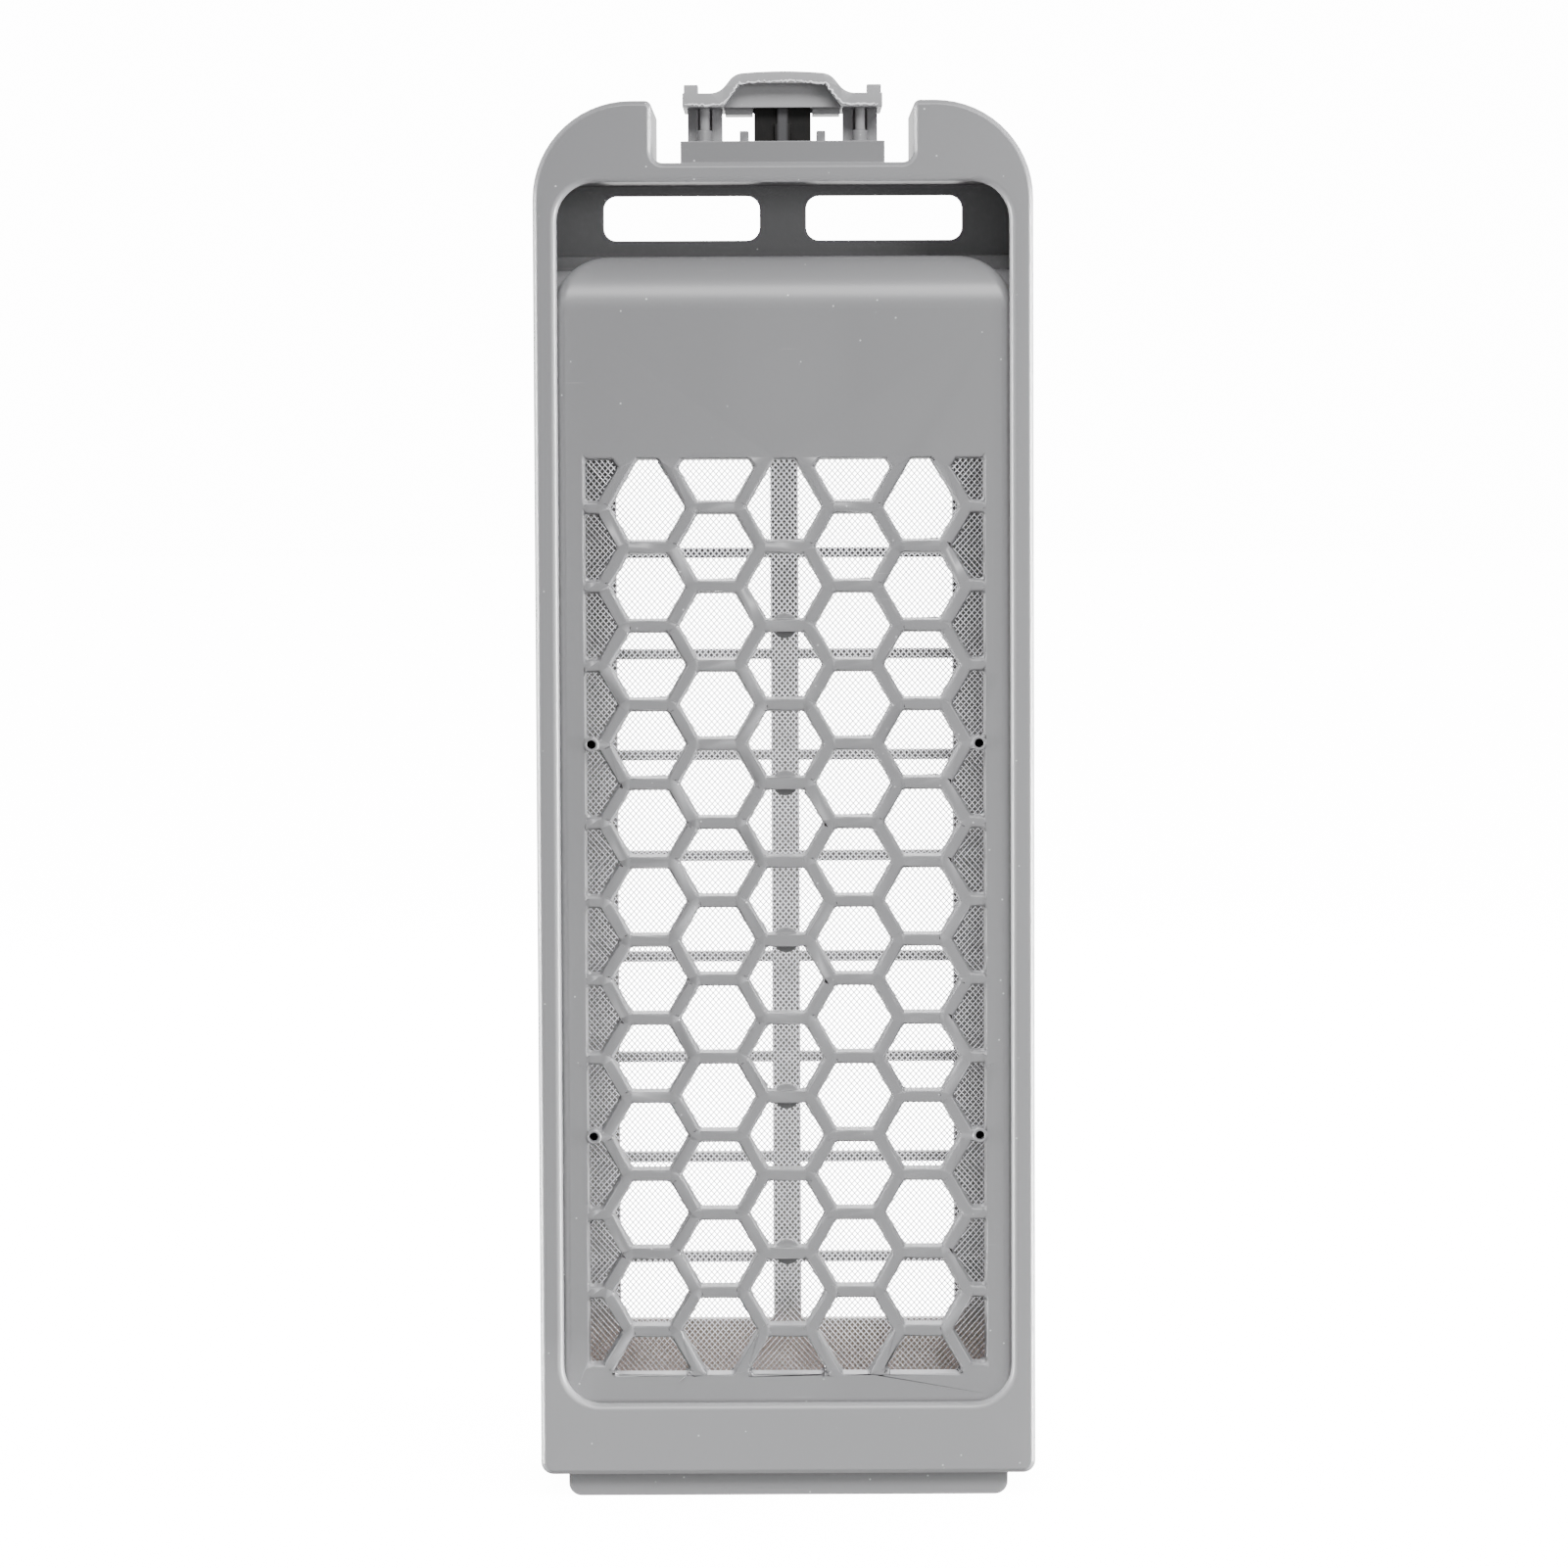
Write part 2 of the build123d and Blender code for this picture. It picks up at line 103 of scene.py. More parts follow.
# %% [markdown]
# ## Studio
# The photograph is taken on white, in a tent of paper that glows at the sides, above and below, and is
# dark where the camera looks in. That makes every rounded edge lighter than the faces beside it. The
# world is such a tent: its light depends on how far a direction turns from the camera's side. One wide
# lamp stands high in front, so the finger recess stays dark under its roof. Two narrow lamps graze the
# face from the sides, the stronger on the right, and draw the lip of the frame and the rims of the
# cells. A flag beside the box keeps each of them off the side wall, which they would burn out, and the
# camera doesn't see the flags. A weak lamp reaches the left end of the recess, and a last one shines
# from behind. The floor and a dome round it are overexposed paper: they glow far brighter than the box,
# and only the camera sees that glow, so the picture is white behind the box and the box is still lit
# gently.

# %% Studio floor and lights
FLOOR_RADIUS = 6.0
TENT_FRONT = 0.4
TENT_SIDE = 1.3
TENT_REAR = 1.0
TENT_BACK = 3.0
PAPER_GLOW = 14.0
TENT_STEPS = ((0.34, TENT_FRONT), (0.46, TENT_SIDE), (0.60, TENT_SIDE), (0.88, TENT_REAR))
TENT_LEFT_SHARE = 0.75
TENT_RIGHT_SHARE = 1.35


def linear(hex_colour):
    """An sRGB hex colour as the linear red, green, blue and alpha that Blender's sockets hold."""
    channels = [int(hex_colour[i:i + 2], 16) / 255 for i in (1, 3, 5)]
    return [c / 12.92 if c <= 0.04045 else ((c + 0.055) / 1.055) ** 2.4 for c in channels] + [1.0]


paper = bpy.data.materials.new("white_paper")
paper.use_nodes = True
paper_shader = paper.node_tree.nodes["Principled BSDF"]
paper_shader.inputs["Base Color"].default_value = linear("#f4f4f4")
paper_shader.inputs["Roughness"].default_value = 0.9
paper_shader.inputs["Emission Color"].default_value = linear("#ffffff")
paper_shader.inputs["Emission Strength"].default_value = PAPER_GLOW

bpy.ops.object.select_all(action="DESELECT")
bpy.ops.mesh.primitive_circle_add(vertices=96, radius=FLOOR_RADIUS, fill_type="NGON", location=(0, 0, 0))
floor = bpy.context.active_object
floor.name = "white_floor"
bpy.ops.mesh.primitive_uv_sphere_add(segments=48, ring_count=24, radius=FLOOR_RADIUS, location=(0, 0, 0))
dome = bpy.context.active_object
dome.name = "white_dome"
for sheet_of_paper in (floor, dome):
    sheet_of_paper.data.materials.append(paper)
    sheet_of_paper.visible_diffuse = False
    sheet_of_paper.visible_glossy = False
    sheet_of_paper.visible_transmission = False
    sheet_of_paper.visible_shadow = False


def softbox(name, place, target, width, height, watts):
    """A rectangular area lamp at a place, turned to a target."""
    lamp = bpy.data.lights.new(name, "AREA")
    lamp.shape = "RECTANGLE"
    lamp.size = width
    lamp.size_y = height
    lamp.energy = watts
    box = bpy.data.objects.new(name, lamp)
    bpy.context.scene.collection.objects.link(box)
    box.location = place
    box.rotation_euler = (Vector(target) - Vector(place)).to_track_quat("-Z", "Y").to_euler()


softbox("key_above", (0.6, -3.2, 3.4), (0, 0, 0.1), 3.6, 1.6, 340.0)
softbox("fill_right", (1.0, -0.85, 0.3), (0, 0, 0.12), 0.5, 0.3, 6.0)
softbox("strip_right", (0.95, -0.065, 0.03), (0, 0, 0.08), 0.05, 0.4, 44.0)
softbox("strip_left", (-0.95, -0.065, 0.03), (0, 0, 0.08), 0.05, 0.4, 28.0)
softbox("back_top", (0, 0.7, 0.62), (0, 0, 0.18), 0.6, 0.6, 9.0)

FLAG_SIDE = 0.15
FLAG_FRONT = -0.02
FLAG_BACK = 0.05
FLAG_BOTTOM = -0.05
FLAG_TOP = 0.175
for side in (-1, 1):
    bpy.ops.object.select_all(action="DESELECT")
    bpy.ops.mesh.primitive_plane_add(size=1, location=(0, 0, 0), rotation=(0, math.pi / 2, 0))
    flag = bpy.context.active_object
    flag.name = "flag_right" if side > 0 else "flag_left"
    flag.scale = (FLAG_TOP - FLAG_BOTTOM, FLAG_BACK - FLAG_FRONT, 1)
    flag.location = (side * FLAG_SIDE, (FLAG_FRONT + FLAG_BACK) / 2, (FLAG_BOTTOM + FLAG_TOP) / 2)
    bpy.ops.object.transform_apply(location=True, rotation=True, scale=True)
    flag.data.materials.append(paper)
    flag.visible_camera = False
    flag.visible_diffuse = False
    flag.visible_glossy = False
    flag.visible_transmission = False

# %% [markdown]
# ## Node helper
# The light tent and every finish below is a small tree of shader nodes. One helper adds a node, sets its
# values and links its inputs, so that a tree reads from top to bottom.

# %% Node helper
def add_node(tree, kind, settings=None, links=None, values=None):
    """A new node: settings are its own properties, links and values go to its inputs."""
    node = tree.nodes.new(kind)
    for key, value in (settings or {}).items():
        setattr(node, key, value)
    for key, socket in (links or {}).items():
        tree.links.new(socket, node.inputs[key])
    for key, value in (values or {}).items():
        node.inputs[key].default_value = value
    return node


def new_material(name):
    """An empty material with its shader, and the object coordinates that its patterns read."""
    material = bpy.data.materials.new(name)
    material.use_nodes = True
    tree = material.node_tree
    shader = tree.nodes["Principled BSDF"]
    place = add_node(tree, "ShaderNodeTexCoord").outputs["Object"]
    return material, tree, shader, place


print("node helper ready")

# %% The light tent
world = bpy.data.worlds.new("paper_tent")
world.use_nodes = True
tent = world.node_tree
direction = add_node(tent, "ShaderNodeTexCoord").outputs["Generated"]
axes = add_node(tent, "ShaderNodeSeparateXYZ", links={"Vector": direction})
depth = add_node(tent, "ShaderNodeMapRange", links={"Value": axes.outputs["Y"]},
                 values={"From Min": -1.0, "From Max": 1.0})
glow = add_node(tent, "ShaderNodeValToRGB", links={"Fac": depth.outputs["Result"]})
for place, strength in TENT_STEPS:
    step = glow.color_ramp.elements.new(place)
    step.color = [strength / TENT_SIDE] * 3 + [1.0]
glow.color_ramp.elements[0].color = [TENT_FRONT / TENT_SIDE] * 3 + [1.0]
glow.color_ramp.elements[-1].color = [TENT_BACK / TENT_SIDE] * 3 + [1.0]
lean = add_node(tent, "ShaderNodeMapRange", links={"Value": axes.outputs["X"]},
                values={"From Min": -1.0, "From Max": 1.0,
                        "To Min": TENT_LEFT_SHARE, "To Max": TENT_RIGHT_SHARE})
power = add_node(tent, "ShaderNodeMath", {"operation": "MULTIPLY"}, {0: lean.outputs["Result"]},
                 {1: TENT_SIDE})
tent.links.new(glow.outputs["Color"], tent.nodes["Background"].inputs["Color"])
tent.links.new(power.outputs["Value"], tent.nodes["Background"].inputs["Strength"])
bpy.context.scene.world = world
print("tent glows from", TENT_FRONT, "in front to", TENT_SIDE, "at the sides")

# %% [markdown]
# ## Grey polypropylene
# The box is injection moulded in grey polypropylene. The mould was spark eroded, so the skin has a very
# fine grain and a satin sheen. The colour is painted darker at the top left and lighter at the bottom
# right. This is painted light, for the light that falls more on the bottom right. The colour also drifts a
# little from place to place. Handling leaves pale specks and hairline scratches. Every piece takes one even
# colour at its foot. On the grey pieces that is their lighter colour, painted light again. The rear cover,
# which is paler, turns a faint brownish grey there.

# %% Grey polypropylene
GRAIN_SIZE = 0.35
DRIFT_SIZE = 40.0
DRIFT_SHARE = 0.2
# Painted light: how much lighter the colour is painted towards the bottom and towards the right.
PAINTED_LIGHT_DOWN = 0.5
PAINTED_LIGHT_ACROSS = 0.42
# Heights in millimetres where the foot colour begins and where it is complete. On the grey pieces it is
# painted light.
FOOT_TONE_TOP = 24.0
FOOT_TONE_BOTTOM = 18.0
SPECK_SPACING = 2.2
SPECK_RADIUS = 0.16
SPECK_SHARE = 0.45
SCRATCH_SPACING = 1.3
SCRATCH_WIDTH = 0.07
SCRATCH_STRETCH = 30.0
SCRATCH_LEAN = math.radians(33)
SCRATCH_DEPTH = 0.35
SPECK_CORE = 0.6
GRAIN_STRENGTH = 0.12
GRAIN_DEPTH = 0.03
SATIN_ROUGHNESS = 0.34
POLYPROPYLENE_IOR = 1.49


def grey_polypropylene(name, dark, shade, pale, foot):
    """Satin moulded plastic: random colour drift, painted light from a darker top left to a lighter bottom
    right, a foot colour, pale specks, hairline scratches and grain.
    """
    material, tree, shader, place = new_material(name)
    spot = add_node(tree, "ShaderNodeSeparateXYZ", links={"Vector": place})
    # Painted light: the colour is darker towards the top left and lighter towards the bottom right.
    painted_light_down = add_node(tree, "ShaderNodeMapRange", links={"Value": spot.outputs["Z"]},
                    values={"From Min": cad_high[2], "From Max": cad_low[2], "To Max": PAINTED_LIGHT_DOWN})
    painted_light_across = add_node(tree, "ShaderNodeMapRange", links={"Value": spot.outputs["X"]},
                    values={"From Min": cad_low[0], "From Max": cad_high[0], "To Max": PAINTED_LIGHT_ACROSS})
    painted_light = add_node(tree, "ShaderNodeMath", {"operation": "ADD"},
                     {0: painted_light_down.outputs["Result"], 1: painted_light_across.outputs["Result"]})
    drift = add_node(tree, "ShaderNodeTexNoise", links={"Vector": place},
                     values={"Scale": 1000 / DRIFT_SIZE, "Detail": 3.0, "Roughness": 0.55})
    drift_and_painted_light = add_node(tree, "ShaderNodeMath", {"operation": "MULTIPLY_ADD"},
                     {0: drift.outputs["Fac"], 2: painted_light.outputs["Value"]}, {1: DRIFT_SHARE})
    tones = add_node(tree, "ShaderNodeValToRGB", links={"Fac": drift_and_painted_light.outputs["Value"]})
    tones.color_ramp.elements[0].color = linear(dark)
    tones.color_ramp.elements[1].color = linear(shade)
    # The foot colour. On the grey pieces it is their lighter colour, which is painted light. On the rear
    # cover it is a brownish grey.
    at_foot = add_node(tree, "ShaderNodeMapRange", links={"Value": spot.outputs["Z"]},
                   values={"From Min": FOOT_TONE_TOP * MM, "From Max": FOOT_TONE_BOTTOM * MM})
    with_foot_tone = add_node(tree, "ShaderNodeMix", {"data_type": "RGBA"},
                       {"Factor": at_foot.outputs["Result"], "A": tones.outputs["Color"]},
                       {"B": linear(foot)})
    specks = add_node(tree, "ShaderNodeTexVoronoi", links={"Vector": place},
                      values={"Scale": 1000 / SPECK_SPACING})
    speck_size = SPECK_RADIUS / SPECK_SPACING
    speck_disc = add_node(tree, "ShaderNodeMapRange", links={"Value": specks.outputs["Distance"]},
                          values={"From Min": speck_size, "From Max": speck_size * SPECK_CORE})
    chance = add_node(tree, "ShaderNodeSeparateColor", links={"Color": specks.outputs["Color"]})
    chosen = add_node(tree, "ShaderNodeMath", {"operation": "LESS_THAN"}, {0: chance.outputs["Red"]},
                      {1: SPECK_SHARE})
    speck_mask = add_node(tree, "ShaderNodeMath", {"operation": "MULTIPLY"},
                          {0: speck_disc.outputs["Result"], 1: chosen.outputs["Value"]})
    speckled = add_node(tree, "ShaderNodeMix", {"data_type": "RGBA"},
                        {"Factor": speck_mask.outputs["Value"], "A": with_foot_tone.outputs["Result"]},
                        {"B": linear(pale)})

    leaning = add_node(tree, "ShaderNodeMapping", links={"Vector": place},
                       values={"Rotation": (0, SCRATCH_LEAN, 0), "Scale": (1 / SCRATCH_STRETCH, 1, 1)})
    lines = add_node(tree, "ShaderNodeTexVoronoi", links={"Vector": leaning.outputs["Vector"]},
                     values={"Scale": 1000 / SCRATCH_SPACING})
    line_size = SCRATCH_WIDTH / SCRATCH_SPACING
    scratch_mask = add_node(tree, "ShaderNodeMapRange", links={"Value": lines.outputs["Distance"]},
                            values={"From Min": line_size, "From Max": 0, "To Max": SCRATCH_DEPTH})
    scratched = add_node(tree, "ShaderNodeMix", {"data_type": "RGBA"},
                         {"Factor": scratch_mask.outputs["Result"], "A": speckled.outputs["Result"]},
                         {"B": linear(pale)})
    tree.links.new(scratched.outputs["Result"], shader.inputs["Base Color"])
    grain = add_node(tree, "ShaderNodeTexNoise", links={"Vector": place},
                     values={"Scale": 1000 / GRAIN_SIZE, "Detail": 2.0})
    bump = add_node(tree, "ShaderNodeBump", links={"Height": grain.outputs["Fac"]},
                    values={"Strength": GRAIN_STRENGTH, "Distance": GRAIN_DEPTH * MM})
    tree.links.new(bump.outputs["Normal"], shader.inputs["Normal"])
    shader.inputs["Roughness"].default_value = SATIN_ROUGHNESS
    shader.inputs["IOR"].default_value = POLYPROPYLENE_IOR
    return material


# Each piece's dark and shade colours are the ends of its painted light as well as of its random drift.
case_plastic = grey_polypropylene(
    "grey_polypropylene_case", dark="#707072", shade="#89898b", pale="#c4c4c6", foot="#89898b")
grille_plastic = grey_polypropylene(
    "grey_polypropylene_grille", dark="#707072", shade="#8a8a8c", pale="#c4c4c6", foot="#8a8a8c")
latch_plastic = grey_polypropylene(
    "pale_polypropylene_latch", dark="#969698", shade="#a0a0a2", pale="#d4d4d6", foot="#a0a0a2")
cover_plastic = grey_polypropylene(
    "pale_polypropylene_cover", dark="#a4a2a3", shade="#acaaaa", pale="#d4d4d6", foot="#c4b4ac")
print("plastics:", case_plastic.name, grille_plastic.name, latch_plastic.name, cover_plastic.name)

# %% [markdown]
# ## Softened mouldings
# A mould never leaves a razor edge. The solids are exact but sharp, so each plastic piece is shown as
# a copy of its solid with small rounds on its edges. The copy's loose triangles are merged first, so
# that the Bevel modifier finds one edge where two faces meet and not two. It rounds only edges that
# turn sharply, so the facets of a round corner stay as they are. Weighted normals keep the large faces
# flat to the eye, up to the rounds.

# %% Softened copies of the solids
EDGE_ANGLE = math.radians(28)
SMOOTH_ANGLE = math.radians(35)
SAME_PLACE = 0.002
CASE_ROUND = 0.16
COVER_ROUND = 0.15
LATCH_ROUND = 0.10
PANEL_ROUND = 0.12
BLOCK_ROUND = 0.15


def merged_copy(node, name):
    """A copy of a solid with its loose triangles joined, selected and active."""
    bpy.ops.object.select_all(action="DESELECT")
    piece = bpy.data.objects.new(name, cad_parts[node].data.copy())
    bpy.context.scene.collection.objects.link(piece)
    piece.select_set(True)
    bpy.context.view_layer.objects.active = piece
    bpy.ops.object.mode_set(mode="EDIT")
    bpy.ops.mesh.select_all(action="SELECT")
    bpy.ops.mesh.remove_doubles(threshold=SAME_PLACE * MM)
    bpy.ops.mesh.select_all(action="DESELECT")
    bpy.ops.object.mode_set(mode="OBJECT")
    return piece


def softened(piece, node, radius, body, material):
    """Rounds every sharp edge of a copy of a solid, and shows it in the solid's place."""
    bevel = piece.modifiers.new("edge_round", "BEVEL")
    bevel.width = radius * MM
    bevel.segments = 2
    bevel.limit_method = "ANGLE"
    bevel.angle_limit = EDGE_ANGLE
    bevel.use_clamp_overlap = False
    bevel.loop_slide = False
    bpy.ops.object.modifier_apply(modifier=bevel.name)
    bpy.ops.object.shade_smooth_by_angle(angle=SMOOTH_ANGLE)
    flats = piece.modifiers.new("flat_faces", "WEIGHTED_NORMAL")
    flats.keep_sharp = True
    bpy.ops.object.modifier_apply(modifier=flats.name)
    piece.data.materials.clear()
    piece.data.materials.append(material)
    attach(piece, body)
    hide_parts(node)
    print(piece.name, "has", len(piece.data.polygons), "faces")


case_shell = merged_copy("case", "case_shell")
softened(case_shell, "case", CASE_ROUND, "box", case_plastic)
ribbed_cover = merged_copy("rear_cover", "ribbed_cover")
softened(ribbed_cover, "rear_cover", COVER_ROUND, "cover", cover_plastic)
latch_cap = merged_copy("latch_button", "latch_cap")
softened(latch_cap, "latch_button", LATCH_ROUND, "button", latch_plastic)

# %% [markdown]
# ## Honeycomb
# The cells' corners are rounded, and so are their rims, which catch a thin light line all round. Both are
# wider than the other edges of the panel, so they are bevelled first, by hand: the edges that run front
# to back in the cells' corners, and then the edges between the panel's face and the cells' walls. Each
# row of corner rounds gives the least and most degrees that a corner turns, its radius in millimetres
# and its segments.

# %% Rounded cells
PANEL_THICKNESS = 2.6
CORNER_ROUNDS = ((100, 180, 1.1, 5), (75, 100, 0.6, 4), (28, 75, 0.3, 3))
RIM_ROUND = 0.3
RIM_SEGMENTS = 4
FACE_TOLERANCE = 0.02
RIM_LEAST_TURN = math.radians(60)
THROUGH_SHARE = 0.95
PIN_HOLE_RADIUS = 0.64
PIN_HOLE_SIDE = 28.1
PIN_HOLE_HEIGHTS = (52.75, 109.85)
PIN_HOLE_BERTH = 2.0

panel_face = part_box("lint_mesh")[0].y - PANEL_THICKNESS * MM


def even_face(piece):
    """Turns the long thin triangles of the panel's face into short ones, which keep flat when moved."""
    bpy.ops.object.mode_set(mode="EDIT")
    bpy.ops.mesh.select_mode(type="FACE")
    edit = bmesh.from_edit_mesh(piece.data)
    for face in edit.faces:
        on_face = all(abs(corner.co.y - panel_face) < FACE_TOLERANCE * MM for corner in face.verts)
        face.select_set(on_face)
    bmesh.update_edit_mesh(piece.data)
    bpy.ops.mesh.quads_convert_to_tris()
    bpy.ops.mesh.beautify_fill(angle_limit=math.pi)
    bpy.ops.object.mode_set(mode="OBJECT")


def bevel_edges(piece, wanted, radius, segments):
    """Rounds the edges of a piece that a test picks, except beside the pin holes."""
    bpy.ops.object.mode_set(mode="EDIT")
    bpy.ops.mesh.select_mode(type="EDGE")
    bpy.ops.mesh.select_all(action="DESELECT")
    edit = bmesh.from_edit_mesh(piece.data)
    picked = 0
    for edge in edit.edges:
        if len(edge.link_faces) == 2 and wanted(edge) and not beside_pin_hole(edge):
            edge.select_set(True)
            picked += 1
    bmesh.update_edit_mesh(piece.data)
    bpy.ops.mesh.bevel(offset=radius * MM, segments=segments, affect="EDGES", loop_slide=False)
    bpy.ops.object.mode_set(mode="OBJECT")
    return picked


def beside_pin_hole(edge):
    """True near one of the four pin holes, whose rings reach over the bars."""
    middle = (edge.verts[0].co + edge.verts[1].co) / 2
    side = abs(middle.x) - PIN_HOLE_SIDE * MM
    return any(math.hypot(side, middle.z - z * MM) < PIN_HOLE_BERTH * MM for z in PIN_HOLE_HEIGHTS)


def turns(edge, least, most):
    """True for an edge from the panel's face straight to its back that turns by so many degrees."""
    run = edge.verts[0].co - edge.verts[1].co
    return (abs(run.y) > THROUGH_SHARE * PANEL_THICKNESS * MM
            and least <= math.degrees(edge.calc_face_angle()) < most)


def is_cell_rim(edge):
    """True for an outward edge between the panel's flat face and the wall of a cell."""
    on_face = all(abs(corner.co.y - panel_face) < FACE_TOLERANCE * MM for corner in edge.verts)
    return on_face and edge.is_convex and edge.calc_face_angle() > RIM_LEAST_TURN


grille = merged_copy("honeycomb_grille", "grille_panel")
even_face(grille)
corners = 0
for least, most, corner_round, segments in CORNER_ROUNDS:
    corners += bevel_edges(grille, lambda edge: turns(edge, least, most), corner_round, segments)
even_face(grille)
rims = bevel_edges(grille, is_cell_rim, RIM_ROUND, RIM_SEGMENTS)
print("honeycomb:", corners, "corners and", rims, "rim edges rounded")
softened(grille, "honeycomb_grille", PANEL_ROUND, "box", grille_plastic)

# %% [markdown]
# ## Pin holes
# Four small holes in the side bars took the pins that held the gauze while it was welded. They end blind
# in a cone, too deep for light to reach, and the cones are painted near black: painted shade.

# %% Blind ends of the pin holes
PIN_HOLE_DEPTH = 1.5

blind_ends = []
for side in (-1, 1):
    for hole_height in PIN_HOLE_HEIGHTS:
        bpy.ops.object.select_all(action="DESELECT")
        middle = (side * PIN_HOLE_SIDE * MM, panel_face + PIN_HOLE_DEPTH * MM, hole_height * MM)
        bpy.ops.mesh.primitive_cone_add(
            vertices=20, radius1=PIN_HOLE_RADIUS * MM, radius2=0, depth=PIN_HOLE_DEPTH / 2 * MM,
            location=middle, rotation=(-math.pi / 2, 0, 0))
        bpy.ops.object.transform_apply(location=True, rotation=True, scale=True)
        blind_ends.append(bpy.context.active_object)
bpy.ops.object.select_all(action="DESELECT")
for end in blind_ends:
    end.select_set(True)
bpy.context.view_layer.objects.active = blind_ends[0]
bpy.ops.object.join()
pin_hole_ends = bpy.context.active_object
pin_hole_ends.name = "pin_hole_ends"
# Painted shade: the cones are near black, for the dark that fills the deep holes.
hole_shade_paint, _, hole_shade_paint_shader, _ = new_material("painted_shade_polypropylene")
hole_shade_paint_shader.inputs["Base Color"].default_value = linear("#0a0a0a")
hole_shade_paint_shader.inputs["Roughness"].default_value = 0.8
hole_shade_paint_shader.inputs["Specular IOR Level"].default_value = 0.1
pin_hole_ends.data.materials.append(hole_shade_paint)
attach(pin_hole_ends, "box")
print("pin holes:", len(blind_ends))

# %% [markdown]
# ## Rubber return block
# A black rubber block under the cap pushes it up again. It is moulded, matte and a little dusty. It is
# squeezed while the cap is pressed.

# %% Rubber block
RIB_HALF = 0.9
# How far the middle rib is painted towards light grey, a painted highlight.
RIB_HIGHLIGHT = 0.35
DUST_SIZE = 1.2

rubber, rubber_tree, rubber_shader, rubber_place = new_material("black_moulded_rubber")
dust = add_node(rubber_tree, "ShaderNodeTexNoise", links={"Vector": rubber_place},
                values={"Scale": 1000 / DUST_SIZE, "Detail": 4.0})
dusty = add_node(rubber_tree, "ShaderNodeValToRGB", links={"Fac": dust.outputs["Fac"]})
dusty.color_ramp.elements[0].color = linear("#070606")
dusty.color_ramp.elements[1].color = linear("#1a1817")
across_block = add_node(rubber_tree, "ShaderNodeSeparateXYZ", links={"Vector": rubber_place})
from_middle = add_node(rubber_tree, "ShaderNodeMath", {"operation": "ABSOLUTE"},
                       {0: across_block.outputs["X"]})
# Painted highlight: the middle rib is painted lighter grey, for the light it catches.
on_rib = add_node(rubber_tree, "ShaderNodeMapRange", links={"Value": from_middle.outputs["Value"]},
                  values={"From Min": RIB_HALF * MM, "From Max": RIB_HALF / 2 * MM, "To Max": RIB_HIGHLIGHT})
rib_highlighted = add_node(rubber_tree, "ShaderNodeMix", {"data_type": "RGBA"},
                {"Factor": on_rib.outputs["Result"], "A": dusty.outputs["Color"]},
                {"B": linear("#77777a")})
rubber_tree.links.new(rib_highlighted.outputs["Result"], rubber_shader.inputs["Base Color"])
rubber_shader.inputs["Roughness"].default_value = 0.7
rubber_shader.inputs["IOR"].default_value = 1.5
rubber_shader.inputs["Specular IOR Level"].default_value = 0.25
block = merged_copy("return_block", "rubber_block")
softened(block, "return_block", BLOCK_ROUND, "box", rubber)
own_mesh(block)

# %% [markdown]
# ## Flash on the cap
# The two halves of the mould meet along the front lower edge of the cap, and a thin ragged line of plastic
# squeezed out there. It is painted near white. That is partly the line's own pale colour and partly a
# painted highlight, for the light that the cap's band catches. It is a curve of uneven thickness that
# follows the edge from end to end.

# %% Flash line
FLASH_PATH = ((-14.1, 202.0), (-9.6, 201.95), (-8.5, 202.1), (-6.3, 205.05), (-2.5, 205.3), (1.0, 205.35),
              (6.2, 205.05), (8.5, 202.1), (9.6, 201.95), (14.1, 202.0))
FLASH_FRONT = -15.52
FLASH_STEP = 0.3
FLASH_STRAY = 0.15
FLASH_RADIUS = 0.16
FLASH_THINNEST = 0.4
FLASH_THICKEST = 1.25
FLASH_MOTTLE_SIZE = 0.8

ragged = random.Random(11)
trail = []
for (x0, z0), (x1, z1) in zip(FLASH_PATH, FLASH_PATH[1:]):
    steps = max(1, round(math.hypot(x1 - x0, z1 - z0) / FLASH_STEP))
    for i in range(steps):
        share = i / steps
        stray = [ragged.uniform(-FLASH_STRAY, FLASH_STRAY) for axis in "xz"]
        trail.append((x0 + (x1 - x0) * share + stray[0], z0 + (z1 - z0) * share + stray[1]))
flash_curve = bpy.data.curves.new("flash_line", "CURVE")
flash_curve.dimensions = "3D"
flash_curve.bevel_depth = FLASH_RADIUS * MM
flash_curve.bevel_resolution = 1
flash_curve.use_fill_caps = True
spine = flash_curve.splines.new("POLY")
spine.points.add(len(trail) - 1)
for point, (x, z) in zip(spine.points, trail):
    point.co = (x * MM, FLASH_FRONT * MM, z * MM, 1)
    point.radius = ragged.uniform(FLASH_THINNEST, FLASH_THICKEST)
bpy.ops.object.select_all(action="DESELECT")
flash_line = bpy.data.objects.new("flash_line", flash_curve)
bpy.context.scene.collection.objects.link(flash_line)
flash_line.select_set(True)
bpy.context.view_layer.objects.active = flash_line
bpy.ops.object.convert(target="MESH")
bpy.ops.object.shade_smooth_by_angle(angle=math.radians(50))
